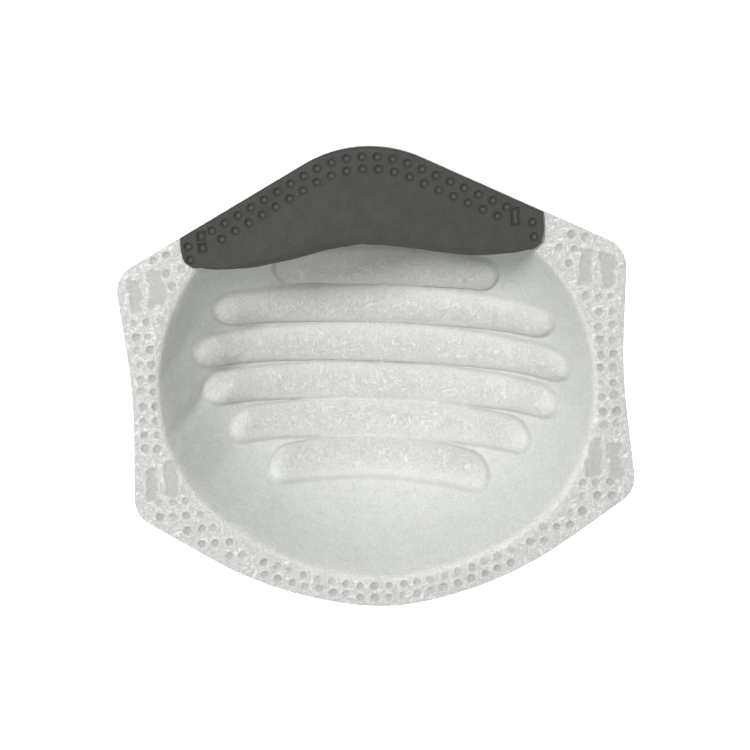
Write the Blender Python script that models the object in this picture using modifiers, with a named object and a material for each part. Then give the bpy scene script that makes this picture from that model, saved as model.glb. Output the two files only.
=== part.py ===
"""Moulded cup dust mask with two elastic head straps, upright as it is worn.

Units are metres, +Z is up towards the nose, +X is the width, and the wearer's face is at -Y.
The origin is on the face-seal plane, the wearer's side of the flat flange, at its middle.
Three webs nest in one another: a ribbed inner shell, a filter web and an outer cover web.
They are one surface, moved out along its normals and thickened, and they share one trimmed edge.
"""

import math

import bmesh
import bpy
import numpy as np
from mathutils import Vector
from mathutils.geometry import delaunay_2d_cdt

MM = 0.001

# The trimmed flange: corners of its right half from the nose down, as (x, z, corner radius) in mm.
FLANGE_CORNERS = [(0, 67.1, 34), (68.4, 32.0, 8), (65.9, -1, 150), (68.4, -33.6, 8), (33, -57, 100),
                  (0, -63.8, 60)]
ARC_STEP = math.radians(15)
EDGE_STEP = 8.0

# The moulded cup: the oval where the flange turns into the wall, as (x, z) in mm, and its depth.
# The mould sits turned against the trimmed outline, as it does on a quickly trimmed cup.
CUP_SKEW = math.radians(-5.2)
CUP_CENTRE_Z = -2.0
CUP_OVAL = [(0, 53), (19.5, 47.5), (39, 38.5), (48.8, 29), (55.6, 17), (59.1, -3), (55.6, -22), (49.7, -32.5),
            (41, -40.8), (30.2, -47.4), (15.6, -53.2), (0, -55.2)]
CUP_DEPTH = 46.0
CUP_PROFILE = [(0, 1), (0.3, 0.965), (0.5, 0.88), (0.7, 0.7), (0.84, 0.455), (0.93, 0.215), (0.97, 0.09),
               (1.0, 0.018), (1.03, 0)]

# Rings of mesh points round the opening, as (share of the oval, points).
CUP_RINGS = [(1.03, 64), (1.0, 64), (0.97, 64), (0.93, 64), (0.88, 48)]

# Rows of mesh points across the cup: their spacing along x, the share of the oval they fill, and the steps
# between rows above and below the ribs.
ROW_POINTS = 7
ROW_SPACING = 9.0
ROWS_END = 0.835
BROW_STEP = 7.0
CHIN_STEP = 6.5

# Six horizontal stiffening ribs, raised towards the wearer: (z at the middle, half length, fall of the ends).
RIBS = [(27.6, 32.0, 1.0), (15.9, 47.6, 1.3), (4.2, 52.4, 1.3), (-7.5, 49.8, 0.6), (-18.2, 43.0, 1.1),
        (-28.9, 31.8, 2.1)]
RIB_PITCH = 11.7
RIB_MIDDLE_X = 0.5
RIB_HEIGHT = 3.2

# The webs, as (name, distance of the wearer's side from the inner surface, thickness) in mm.
WEBS = [("inner_shell", 0.0, 0.8), ("filter_web", 1.05, 0.4), ("outer_cover", 1.7, 0.4)]
STACK = 2.1
GAP = 0.3

# The nose foam lies on the wearer's side of the flange and hangs free over the top of the cup.
FOAM_MIDDLE_X = -1.6
FOAM_HALF_LENGTH = 48.3
FOAM_LOWER_EDGE = [(0, 37.1), (9, 36.0), (20.5, 33.8), (29.5, 32.5), (37, 32.4), (44.5, 33.5), (48.3, 36.4)]
FOAM_WELDED = 1.2
FOAM_FREE = 4.6
FOAM_WELD_BAND = 8.5
FOAM_TRIM = 0.3
FOAM_STATIONS = 29
# Its rolled free edge, as (share of its thickness, share of the puffed height), down the front and round.
FOAM_ROLL = [(0.8, 0.78), (1.0, 0.5), (0.85, 0.12), (0.4, 0.0), (0.0, 0.1)]

# The aluminium nose clip follows the upper wall of the cup on its outside.
CLIP_RHO = 0.87
CLIP_ANGLES = (52, 128)
CLIP_WIDTH = 5.0
CLIP_THICKNESS = 0.8
CLIP_STATIONS = 25
CLIP_STEP = 0.03

# Elastic head straps, welded to the flange at four places and laid over the front of the cup.
ANCHOR_X = 61.8
ANCHOR_Z = {"upper": 25.0, "lower": -26.8}
STRAP_TILT = {"upper": math.radians(-22), "lower": math.radians(21)}
STRAP_WIDTH = 8.0
STRAP_NECK = 3.0
STRAP_NECK_LENGTH = 14.0
STRAP_THICKNESS = 0.9
STRAP_CLEARANCE = 0.6
STRAP_TILT_SPREAD = 1.15  # how much thicker the webs are along the strap's plane than along their normal
STRAP_STATIONS = 45
STRAP_SEARCH = 75.0  # no part of the cup is farther than this from a strap's axis
STRAP_END = (9.6, 0.9, 8.6)
AXIS_Y = STACK + GAP + STRAP_END[1] + GAP + STRAP_NECK / 2

COLOURS = {
    "inner_shell": (0.80, 0.80, 0.77, 0.95),
    "filter_web": (0.88, 0.88, 0.87, 0.9),
    "outer_cover": (0.86, 0.86, 0.84, 0.9),
    "nose_foam": (0.20, 0.20, 0.185, 0.95),
    "nose_clip": (0.72, 0.73, 0.74, 0.35),
    "strap": (0.84, 0.83, 0.79, 0.8),
}


def clear_scene():
    for obj in list(bpy.data.objects):
        bpy.data.objects.remove(obj, do_unlink=True)


def material(slot, metallic=0.0):
    found = bpy.data.materials.get(slot)
    if found:
        return found
    made = bpy.data.materials.new(slot)
    made.use_nodes = True
    shader = made.node_tree.nodes["Principled BSDF"]
    red, green, blue, roughness = COLOURS[slot]
    shader.inputs["Base Color"].default_value = (red, green, blue, 1.0)
    shader.inputs["Roughness"].default_value = roughness
    shader.inputs["Metallic"].default_value = metallic
    return made


def add_object(name, mesh, slot, collection, metallic=0.0):
    obj = bpy.data.objects.new(name, mesh)
    mesh.materials.append(material(slot, metallic))
    collection.objects.link(obj)
    return obj


def smooth_through(at, knots):
    """A smooth curve through (position, value) knots, evaluated at each position in at."""
    xs, ys = np.array(knots, float).T
    slopes = np.gradient(ys, xs)
    at = np.clip(np.asarray(at, float), xs[0], xs[-1])
    i = np.clip(np.searchsorted(xs, at, side="right") - 1, 0, len(xs) - 2)
    span = xs[i + 1] - xs[i]
    t = (at - xs[i]) / span
    start = (2 * t**3 - 3 * t**2 + 1) * ys[i] + (t**3 - 2 * t**2 + t) * span * slopes[i]
    end = (3 * t**2 - 2 * t**3) * ys[i + 1] + (t**3 - t**2) * span * slopes[i + 1]
    return start + end


def rounded_corner(before, corner, after, radius):
    """Points of the arc that rounds one corner of an outline."""
    corner = np.array(corner, float)
    back, ahead = np.array(before) - corner, np.array(after) - corner
    back, ahead = back / np.linalg.norm(back), ahead / np.linalg.norm(ahead)
    half = math.acos(float(np.clip(back @ ahead, -1, 1))) / 2
    middle = (back + ahead) / np.linalg.norm(back + ahead)
    centre = corner + middle * radius / math.sin(half)
    reach = radius / math.tan(half)
    first, last = corner + back * reach - centre, corner + ahead * reach - centre
    turn = math.atan2(first[0] * last[1] - first[1] * last[0], first @ last)
    count = max(2, math.ceil(abs(turn) / ARC_STEP))
    angles = [turn * k / count for k in range(count + 1)]
    return [centre + (first[0] * math.cos(a) - first[1] * math.sin(a),
                      first[0] * math.sin(a) + first[1] * math.cos(a)) for a in angles]


def flange_outline():
    """The closed trimmed outline, clockwise from the nose, with no long edges."""
    left = [(-x, z, r) for x, z, r in FLANGE_CORNERS[-2:0:-1]]
    corners = FLANGE_CORNERS + left
    points = []
    for i, (x, z, radius) in enumerate(corners):
        before, after = corners[i - 1][:2], corners[(i + 1) % len(corners)][:2]
        points += rounded_corner(before, (x, z), after, radius)
    outline = []
    for i, start in enumerate(points):
        end = points[(i + 1) % len(points)]
        parts = max(1, math.ceil(np.linalg.norm(end - start) / EDGE_STEP))
        outline += [start + (end - start) * k / parts for k in range(parts)]
    return np.array(outline)


def outline_top(x):
    """Height of the flange's upper edge at a distance from its middle."""
    corner_x, corner_z, _ = FLANGE_CORNERS[1]
    apex_z, radius = FLANGE_CORNERS[0][1:]
    slope = math.atan2(apex_z - corner_z, corner_x)
    if abs(x) < radius * math.sin(slope):
        centre_z = apex_z - radius / math.cos(slope)
        return centre_z + math.sqrt(radius**2 - x**2)
    return apex_z - abs(x) * math.tan(slope)


def oval_radius(angle):
    """Distance from the cup's centre to its opening edge, at an angle from the cup's +X."""
    rays = [(x, z - CUP_CENTRE_Z) for x, z in reversed(CUP_OVAL)]
    knots = [(math.atan2(up, x), math.hypot(x, up)) for x, up in rays]
    folded = np.arcsin(np.clip(np.sin(angle), -1, 1))
    return smooth_through(folded, knots)


def turned(x, z, angle):
    return x * math.cos(angle) - z * math.sin(angle), x * math.sin(angle) + z * math.cos(angle)


def rho_at(x, z):
    """0 at the middle of the cup and 1 on its opening edge, for a point in the cup's own frame."""
    return np.hypot(x, z - CUP_CENTRE_Z) / oval_radius(np.arctan2(z - CUP_CENTRE_Z, x))


def rib_line(k, x):
    """Height of a rib's crest at a distance from the ribs' middle."""
    middle_z, length, fall = RIBS[k]
    return middle_z - fall * np.minimum(np.abs(x) / length, 1) ** 2


def rib_swell(x, z):
    """0 beside the ribs and 1 on a rib's crest, for a point in the cup's own frame."""
    x = x - RIB_MIDDLE_X
    swell = np.zeros(np.broadcast(x, z).shape)
    half = RIB_PITCH / 2
    for k, (_, length, _) in enumerate(RIBS):
        beyond = np.maximum(np.abs(x) - (length - half), 0)
        away = np.hypot(beyond, z - rib_line(k, x)) / half
        swell = np.maximum(swell, np.cos(np.clip(away, 0, 1) * math.pi / 2))
    return swell


def depth_at(x, z, ribs=True):
    """How far the inner surface lies behind the face-seal plane, in mm."""
    x, z = turned(np.asarray(x, float), np.asarray(z, float), -CUP_SKEW)
    depth = CUP_DEPTH * smooth_through(rho_at(x, z), CUP_PROFILE)
    return depth - RIB_HEIGHT * rib_swell(x, z) if ribs else depth


def normal_at(x, z, step=0.5):
    """Unit normal of the cup without ribs, pointing away from the wearer."""
    along_x = (depth_at(x + step, z, False) - depth_at(x - step, z, False)) / (2 * step)
    along_z = (depth_at(x, z + step, False) - depth_at(x, z - step, False)) / (2 * step)
    normal = np.array([-along_x, 1.0, -along_z])
    return normal / np.linalg.norm(normal)


def cup_rings():
    """Rings of points that follow the opening edge, closest where the wall turns."""
    points = []
    for rho, count in CUP_RINGS:
        for i in range(count):
            angle = 2 * math.pi * i / count
            reach = rho * float(oval_radius(angle))
            points.append((reach * math.cos(angle), CUP_CENTRE_Z + reach * math.sin(angle)))
    return points


def rows_beside_ribs():
    """Lines across the cup as functions of x: every rib's crest and flanks, and the valleys between ribs."""
    quarter = RIB_PITCH / 4
    last = len(RIBS) - 1
    rows = [lambda x: rib_line(0, x) + 2 * quarter + BROW_STEP, lambda x: rib_line(0, x) + 2 * quarter]
    for k in range(last + 1):
        rows += [lambda x, k=k: rib_line(k, x) + quarter, lambda x, k=k: rib_line(k, x)]
        rows.append(lambda x, k=k: rib_line(k, x) - quarter)
        if k < last:
            rows.append(lambda x, k=k: (rib_line(k, x) + rib_line(k + 1, x)) / 2)
    rows += [lambda x, n=n: rib_line(last, x) - 2 * quarter - n * CHIN_STEP for n in range(3)]
    return rows


def cup_rows():
    """Rows of points along the ribs and over the smooth chin and brow."""
    points = []
    for k, row in enumerate(rows_beside_ribs()):
        for i in range(-ROW_POINTS, ROW_POINTS + 1):
            x = (i + 0.5 * (k % 2)) * ROW_SPACING
            z = float(row(x - RIB_MIDDLE_X))
            if rho_at(x, z) < ROWS_END:
                points.append((x, z))
    return points


def web_surface(name):
    """The mask's inner surface as an open mesh whose normals point away from the wearer."""
    outline = flange_outline()
    inside = [turned(x, z, CUP_SKEW) for x, z in cup_rings() + cup_rows()]
    points = [Vector((float(x), float(z))) for x, z in [*outline, *inside]]
    boundary = list(range(len(outline)))
    verts, _, faces, *_ = delaunay_2d_cdt(points, [], [boundary], 1, 1e-6)
    mesh = bpy.data.meshes.new(name)
    places = [(v.x * MM, float(depth_at(v.x, v.y)) * MM, v.y * MM) for v in verts]
    mesh.from_pydata(places, [], [tuple(f) for f in faces])
    shell = bmesh.new()
    shell.from_mesh(mesh)
    bmesh.ops.recalc_face_normals(shell, faces=shell.faces)
    if sum(f.normal.y for f in shell.faces) < 0:
        bmesh.ops.reverse_faces(shell, faces=shell.faces)
    shell.to_mesh(mesh)
    shell.free()
    mesh.shade_smooth()
    return mesh


def build_webs(collection):
    for name, start, thickness in WEBS:
        obj = add_object(name, web_surface(name), name, collection)
        if start > 0:
            move = obj.modifiers.new("move_out", "DISPLACE")
            move.strength = start * MM
            move.mid_level = 0.0
        solid = obj.modifiers.new("thickness", "SOLIDIFY")
        solid.thickness = thickness * MM
        solid.offset = 1.0


def lofted(name, sections):
    """A closed solid through sections of equally many points, with its two ends capped."""
    shell = bmesh.new()
    rings = [[shell.verts.new(Vector(p) * MM) for p in section] for section in sections]
    for ring, following in zip(rings, rings[1:]):
        for i in range(len(ring)):
            j = (i + 1) % len(ring)
            shell.faces.new((ring[i], ring[j], following[j], following[i]))
    shell.faces.new(rings[0])
    shell.faces.new(rings[-1])
    bmesh.ops.recalc_face_normals(shell, faces=shell.faces)
    mesh = bpy.data.meshes.new(name)
    shell.to_mesh(mesh)
    shell.free()
    mesh.shade_smooth()
    mesh.set_sharp_from_angle(angle=math.radians(40))
    return mesh


def foam_section(x):
    """The foam's outline across its width: thin where it is welded, puffed along its free edge."""
    top = outline_top(x) - FOAM_TRIM
    from_middle = abs(x - FOAM_MIDDLE_X)
    bottom = float(smooth_through(from_middle, FOAM_LOWER_EDGE))
    end = math.sqrt(max(0.0, 1 - (from_middle / (FOAM_HALF_LENGTH + 1)) ** 8))
    puff = FOAM_WELDED + (FOAM_FREE - FOAM_WELDED) * end
    band = min(FOAM_WELD_BAND, 0.45 * (top - bottom))
    puffed = top - band - bottom
    welded = [(x, -GAP, top), (x, -GAP - FOAM_WELDED, top - FOAM_TRIM), (x, -GAP - FOAM_WELDED, top - band)]
    return welded + [(x, -GAP - forward * puff, bottom + up * puffed) for forward, up in FOAM_ROLL]


def build_foam(collection):
    stations = np.linspace(-FOAM_HALF_LENGTH, FOAM_HALF_LENGTH, FOAM_STATIONS)
    mesh = lofted("nose_foam", [foam_section(FOAM_MIDDLE_X + float(x)) for x in stations])
    add_object("nose_foam", mesh, "nose_foam", collection)


def cup_point(rho, angle):
    """A point of the inner surface without ribs, from its place on the cup."""
    reach = rho * float(oval_radius(angle))
    x, z = turned(reach * math.cos(angle), CUP_CENTRE_Z + reach * math.sin(angle), CUP_SKEW)
    return np.array([x, float(depth_at(x, z, False)), z])


def clip_section(angle):
    """The clip's rectangular section, flat against the outer cover at one angle round the cup."""
    centre = cup_point(CLIP_RHO, angle)
    across = cup_point(CLIP_RHO + CLIP_STEP, angle) - cup_point(CLIP_RHO - CLIP_STEP, angle)
    across *= CLIP_WIDTH / 2 / np.linalg.norm(across)
    out = normal_at(centre[0], centre[2])
    near = centre + out * (STACK + 2 * GAP)
    far = near + out * CLIP_THICKNESS
    return [near - across, near + across, far + across, far - across]


def build_clip(collection):
    first, last = CLIP_ANGLES
    angles = np.radians(np.linspace(first, last, CLIP_STATIONS))
    mesh = lofted("nose_clip", [clip_section(float(a)) for a in angles])
    add_object("nose_clip", mesh, "nose_clip", collection, metallic=1.0)


def cup_reach(x, anchor_z, tilt):
    """How far the cup's inner surface reaches from the strap's axis, in the plane of the strap."""
    along = np.linspace(0, STRAP_SEARCH, 751)
    farthest = 0.0
    for edge in (-STRAP_WIDTH / 2, 0, STRAP_WIDTH / 2):
        y = AXIS_Y + along * math.cos(tilt)
        z = anchor_z + edge + along * math.sin(tilt)
        inside = along[y < depth_at(x, z, False)]
        farthest = max(farthest, float(inside.max()) if len(inside) else 0.0)
    return farthest


def upper_hull(points):
    """The part of a convex hull that lies above, through points sorted by their first value."""
    hull = []
    for p in points:
        while len(hull) > 1:
            (ax, ay), (bx, by) = hull[-2:]
            if (bx - ax) * (p[1] - ay) - (by - ay) * (p[0] - ax) < 0:
                break
            hull.pop()
        hull.append(p)
    return hull


def strap_route(which):
    """Points down the strap's middle as (x, distance from its axis), taut over the front of the cup."""
    lift = STACK * STRAP_TILT_SPREAD + STRAP_CLEARANCE + STRAP_THICKNESS / 2
    round_cup = [(-ANCHOR_X, 0.0), (ANCHOR_X, 0.0)]
    for x in range(-58, 59, 2):
        reach = cup_reach(float(x), ANCHOR_Z[which], STRAP_TILT[which])
        if reach > 0:
            for a in np.linspace(0, math.pi, 13):
                round_cup.append((x + lift * math.cos(a), reach + lift * math.sin(a)))
    hull = np.array(upper_hull(sorted(p for p in round_cup if abs(p[0]) <= ANCHOR_X)))
    length = np.concatenate([[0], np.cumsum(np.hypot(*np.diff(hull, axis=0).T))])
    even = np.linspace(0, length[-1], STRAP_STATIONS)
    route = np.column_stack([np.interp(even, length, hull[:, k]) for k in (0, 1)])
    return route, even


def build_strap(which, collection):
    """A flat elastic band, modelled about the axis through its two welds."""
    route, along = strap_route(which)
    tangents = np.gradient(route, axis=0)
    plane = np.array([0, math.cos(STRAP_TILT[which]), math.sin(STRAP_TILT[which])])
    sections = []
    for (x, reach), (tx, tq), at in zip(route, tangents, along):
        end = min(at, along[-1] - at) / STRAP_NECK_LENGTH
        width = STRAP_NECK + (STRAP_WIDTH - STRAP_NECK) * math.sin(min(end, 1.0) * math.pi / 2) ** 2
        middle = np.array([x, 0, 0]) + plane * reach
        out = np.array([-tq, 0, 0]) + plane * tx
        out *= STRAP_THICKNESS / 2 / np.linalg.norm(out)
        side = np.array([0, 0, width / 2])
        sections.append([middle - out - side, middle - out + side, middle + out + side, middle + out - side])
    name = which + "_head_strap"
    obj = add_object(name, lofted(name, sections), "strap", collection)
    obj.location = (0, AXIS_Y * MM, ANCHOR_Z[which] * MM)


def build_strap_end(which, side, collection):
    """The flat end of a strap, welded to the outside of the flange."""
    sign = -1 if side == "left" else 1
    width, thickness, height = STRAP_END
    shell = bmesh.new()
    bmesh.ops.create_cube(shell, size=1.0)
    bmesh.ops.scale(shell, vec=Vector((width, thickness, height)) * MM, verts=shell.verts)
    name = f"{which}_{side}_strap_end"
    mesh = bpy.data.meshes.new(name)
    shell.to_mesh(mesh)
    shell.free()
    obj = add_object(name, mesh, "strap", collection)
    obj.location = (sign * ANCHOR_X * MM, (STACK + GAP + thickness / 2) * MM, ANCHOR_Z[which] * MM)
    bevel = obj.modifiers.new("soft_edges", "BEVEL")
    bevel.width = 0.3 * MM
    bevel.segments = 2


def main():
    clear_scene()
    mask = bpy.data.collections.new("dust_mask")
    bpy.context.scene.collection.children.link(mask)
    build_webs(mask)
    build_foam(mask)
    build_clip(mask)
    for which in ("upper", "lower"):
        build_strap(which, mask)
        for side in ("left", "right"):
            build_strap_end(which, side, mask)


main()
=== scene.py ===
"""Looks of the moulded cup dust mask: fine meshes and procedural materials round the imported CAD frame.

Lengths in the tables below are in mm, in the frame of the CAD: +X is the width, +Z is up and the
wearer is at -Y.
"""

import math

import bmesh
import bpy
import numpy as np
from mathutils import Matrix, Vector


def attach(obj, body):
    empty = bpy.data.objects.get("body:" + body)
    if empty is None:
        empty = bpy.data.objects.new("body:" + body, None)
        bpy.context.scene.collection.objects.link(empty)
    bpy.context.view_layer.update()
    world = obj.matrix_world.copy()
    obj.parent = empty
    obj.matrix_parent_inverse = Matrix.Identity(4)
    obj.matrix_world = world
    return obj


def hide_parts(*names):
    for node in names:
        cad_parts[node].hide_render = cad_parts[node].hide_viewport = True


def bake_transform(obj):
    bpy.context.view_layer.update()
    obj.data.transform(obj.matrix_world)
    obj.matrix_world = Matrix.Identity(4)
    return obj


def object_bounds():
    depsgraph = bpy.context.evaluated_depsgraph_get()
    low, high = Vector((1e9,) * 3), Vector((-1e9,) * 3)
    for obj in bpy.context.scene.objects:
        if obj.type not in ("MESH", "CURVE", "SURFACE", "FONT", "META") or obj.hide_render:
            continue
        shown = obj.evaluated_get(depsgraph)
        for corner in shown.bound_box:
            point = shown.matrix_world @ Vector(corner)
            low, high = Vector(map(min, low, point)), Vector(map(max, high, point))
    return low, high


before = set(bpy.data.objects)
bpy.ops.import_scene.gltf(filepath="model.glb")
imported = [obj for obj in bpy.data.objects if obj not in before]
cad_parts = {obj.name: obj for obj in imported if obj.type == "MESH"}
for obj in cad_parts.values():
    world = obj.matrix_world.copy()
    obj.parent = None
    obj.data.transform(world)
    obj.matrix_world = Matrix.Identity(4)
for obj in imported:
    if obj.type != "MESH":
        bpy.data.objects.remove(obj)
CAD_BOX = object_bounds()
MM = 0.001

# --- The mask's own sizes, as the CAD states them -------------------------------------------------
FLANGE_CORNERS = [(0, 67.1, 34), (68.4, 32.0, 8), (65.9, -1, 150), (68.4, -33.6, 8), (33, -57, 100),
                  (0, -63.8, 60)]
CUP_SKEW = math.radians(-5.2)
CUP_CENTRE_Z = -2.0
CUP_OVAL = [(0, 53), (19.5, 47.5), (39, 38.5), (48.8, 29), (55.6, 17), (59.1, -3), (55.6, -22), (49.7, -32.5),
            (41, -40.8), (30.2, -47.4), (15.6, -53.2), (0, -55.2)]
CUP_DEPTH = 46.0
CUP_PROFILE = [(0, 1), (0.3, 0.965), (0.5, 0.88), (0.7, 0.7), (0.84, 0.455), (0.93, 0.215), (0.97, 0.09),
               (1.0, 0.018), (1.03, 0)]
RIBS = [(27.6, 32.0, 1.0), (15.9, 47.6, 1.3), (4.2, 52.4, 1.3), (-7.5, 49.8, 0.6), (-18.2, 43.0, 1.1),
        (-28.9, 31.8, 2.1)]
RIB_PITCH = 11.7
RIB_MIDDLE_X = 0.5
RIB_HEIGHT = 3.4  # the CAD's coarser ribs are 3.2 high
RIB_TAPER = 0.17
STACK = 2.1
GAP = 0.3
ANCHOR_X = 61.8
ANCHOR_Z = {"upper": 25.0, "lower": -26.8}
STRAP_TILT = {"upper": math.radians(-22), "lower": math.radians(21)}
STRAP_WIDTH = 8.0
STRAP_NECK = 3.0
STRAP_NECK_LENGTH = 14.0
STRAP_THICKNESS = 0.9
STRAP_CLEARANCE = 0.6
STRAP_TILT_SPREAD = 1.15
STRAP_END = (9.6, 0.9, 8.6)
STRAP_END_GRID = (64, 58)
END_BAR = (1.3, 3.6)
AXIS_Y = STACK + GAP + STRAP_END[1] + GAP + STRAP_NECK / 2
# How far out and how high the band is where it leaves its weld.
STRAP_ROOT = [(3.4, 3.62), (1.9, 3.66), (0.9, 3.9), (0.3, 4.4)]
STRAP_ROOT_LENGTH = 4.2
ROUTE_KERNEL = 9
CORD_PITCH = 0.8
WALE_PITCH = 0.55
STRAP_STATIONS = 361
STRAP_SEARCH = 75  # no part of the cup is farther than this from a strap's axis
FOAM_LOWER_EDGE = [(0, 37.1), (9, 36.0), (20.5, 33.8), (29.5, 32.5), (37, 32.4), (43, 33.0), (46.6, 34.1),
                   (47.8, 35.8), (48.3, 38.2)]
FOAM_MIDDLE_X = -1.6
FOAM_HALF_LENGTH = 48.3
FOAM_WELDED = 1.2
FOAM_FREE = 4.6
FOAM_GRID = (560, 150)
CLIP_RHO = 0.87
CLIP_ANGLES = (52, 128)
CLIP_WIDTH = 5.0
CLIP_THICKNESS = 0.8
CLIP_CORNER = 0.16
CLIP_POINTS = 141
CLIP_STEP = 0.55
CLIP_TIP = 2.4

# --- The weld pattern -----------------------------------------------------------------------------
PIT_RADIUS = 0.98
PIT_PITCH = 3.97
PIT_ROWS = (2.5, 5.6)
SIDE_COLUMNS = (60.2, 63.6)
SIDE_PITCH = 3.85
SIDE_BOW = 0.4
CORNER_GRID = (61.4, 3.67, -30.8, 3.9)  # first x and its pitch, first z and its pitch
CORNER_ROWS = 6
CORNER_COLUMNS = 8
CLEAR_OF_PITS = 2.95
CLEAR_OF_EDGE = 1.9
CLEAR_OF_CUP = 1.032
BROW_PITS = [(54.0, 36.8), (57.5, 35.6), (50.4, 33.3), (54.5, 32.2), (53.0, 28.8), (56.8, 19.6), (57.9, 39.2)]
BAR_X = 60.2
BAR_Z = (27.0, -24.8)
BAR_OFFSETS = (-2.8, 2.8)
BAR_SIZE = (1.6, 4.6)

# --- Mesh fineness --------------------------------------------------------------------------------
ROUND_POINTS = 1400
FILTER_POINTS = 500
FLANGE_ROWS = 54
CUP_ROWS = 120
BEND_RHO = 0.985  # where the fine rings of the flange end
ROW_SPREAD = 0.93


# ===== Curves and surfaces ========================================================================
def smooth_through(at, knots):
    """A smooth curve through (position, value) knots, evaluated at each position in at."""
    xs, ys = np.array(knots, float).T
    slopes = np.gradient(ys, xs)
    at = np.clip(np.asarray(at, float), xs[0], xs[-1])
    i = np.clip(np.searchsorted(xs, at, side="right") - 1, 0, len(xs) - 2)
    span = xs[i + 1] - xs[i]
    t = (at - xs[i]) / span
    start = (2 * t**3 - 3 * t**2 + 1) * ys[i] + (t**3 - 2 * t**2 + t) * span * slopes[i]
    end = (3 * t**2 - 2 * t**3) * ys[i + 1] + (t**3 - t**2) * span * slopes[i + 1]
    return start + end


def ease(value, low, high):
    """0 below low and 1 above high, with a smooth step between."""
    t = np.clip((value - low) / (high - low), 0, 1)
    return t * t * (3 - 2 * t)


def rounded_corner(before, corner, after, radius, step=math.radians(2.5)):
    corner = np.array(corner, float)
    back, ahead = np.array(before) - corner, np.array(after) - corner
    back, ahead = back / np.linalg.norm(back), ahead / np.linalg.norm(ahead)
    half = math.acos(float(np.clip(back @ ahead, -1, 1))) / 2
    middle = (back + ahead) / np.linalg.norm(back + ahead)
    centre = corner + middle * radius / math.sin(half)
    reach = radius / math.tan(half)
    first, last = corner + back * reach - centre, corner + ahead * reach - centre
    turn = math.atan2(first[0] * last[1] - first[1] * last[0], first @ last)
    count = max(2, math.ceil(abs(turn) / step))
    angles = [turn * k / count for k in range(count + 1)]
    return [centre + (first[0] * math.cos(a) - first[1] * math.sin(a),
                      first[0] * math.sin(a) + first[1] * math.cos(a)) for a in angles]


def even_loop(points, count):
    """A closed line again, with its points evenly spaced."""
    closed = np.vstack([points, points[:1]])
    along = np.concatenate([[0], np.cumsum(np.linalg.norm(np.diff(closed, axis=0), axis=1))])
    at = np.linspace(0, along[-1], count, endpoint=False)
    return np.column_stack([np.interp(at, along, closed[:, k]) for k in (0, 1)])


def flange_outline(count):
    left = [(-x, z, r) for x, z, r in FLANGE_CORNERS[-2:0:-1]]
    corners = FLANGE_CORNERS + left
    points = []
    for i, (x, z, radius) in enumerate(corners):
        before, after = corners[i - 1][:2], corners[(i + 1) % len(corners)][:2]
        points += rounded_corner(before, (x, z), after, radius)
    return even_loop(np.array(points), count)


def outline_top(x):
    """Height of the flange's upper edge at distances from its middle."""
    corner_x, corner_z, _ = FLANGE_CORNERS[1]
    apex_z, radius = FLANGE_CORNERS[0][1:]
    slope = math.atan2(apex_z - corner_z, corner_x)
    x = np.abs(np.asarray(x, float))
    centre_z = apex_z - radius / math.cos(slope)
    arc = centre_z + np.sqrt(np.maximum(radius**2 - x**2, 0))
    return np.where(x < radius * math.sin(slope), arc, apex_z - x * math.tan(slope))


def turned(x, z, angle):
    return x * math.cos(angle) - z * math.sin(angle), x * math.sin(angle) + z * math.cos(angle)


def oval_radius(angle):
    knots = [(math.atan2(z - CUP_CENTRE_Z, x), math.hypot(x, z - CUP_CENTRE_Z))
             for x, z in reversed(CUP_OVAL)]
    return smooth_through(np.arcsin(np.clip(np.sin(angle), -1, 1)), knots)


def rho_at(x, z):
    """0 at the cup's middle, 1 on its opening edge, for points in the row frame."""
    x, z = turned(x, z, -CUP_SKEW)
    return np.hypot(x, z - CUP_CENTRE_Z) / oval_radius(np.arctan2(z - CUP_CENTRE_Z, x))


def base_depth(x, z):
    return CUP_DEPTH * smooth_through(rho_at(x, z), CUP_PROFILE)


def base_normals(x, z, step=0.35):
    """Unit normals of the cup without ribs, pointing away from the wearer."""
    along_x = (base_depth(x + step, z) - base_depth(x - step, z)) / (2 * step)
    along_z = (base_depth(x, z + step) - base_depth(x, z - step)) / (2 * step)
    normals = np.stack([-along_x, np.ones_like(along_x), -along_z], axis=-1)
    return normals / np.linalg.norm(normals, axis=-1, keepdims=True)


def lumps(x, z, cell, seed):
    """Smooth random values from -1 to 1 that change over about one cell."""
    grid = np.random.default_rng(seed).uniform(-1, 1, (64, 64))
    u, v = x / cell + 311.0, z / cell + 173.0
    i, j = np.floor(u).astype(int), np.floor(v).astype(int)
    s, t = u - i, v - j
    s, t = s * s * (3 - 2 * s), t * t * (3 - 2 * t)
    near = grid[i % 64, j % 64] * (1 - t) + grid[i % 64, (j + 1) % 64] * t
    far = grid[(i + 1) % 64, j % 64] * (1 - t) + grid[(i + 1) % 64, (j + 1) % 64] * t
    return near * (1 - s) + far * s


def from_ribs(x, z):
    """Distance from the nearest rib's middle line as a share of the rib's half width: 1 where a rib ends."""
    x, z = turned(x, z, -CUP_SKEW)
    x = x - RIB_MIDDLE_X
    nearest = np.full_like(x, 9.0)
    for middle_z, length, fall in RIBS:
        share = np.minimum(np.abs(x) / length, 1)
        half = RIB_PITCH / 2 * (1 - RIB_TAPER * ease(share, 0.25, 1.0))
        beyond = np.maximum(np.abs(x) - (length - half), 0)
        nearest = np.minimum(nearest, np.hypot(beyond, z - middle_z + fall * share**2) / half)
    return nearest


def rib_swell(x, z):
    """0 beside the ribs, 1 on a crest: rounded lobes that meet in sharp valleys."""
    return (1 - np.clip(from_ribs(x, z), 0, 1) ** 2) ** 0.6


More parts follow.
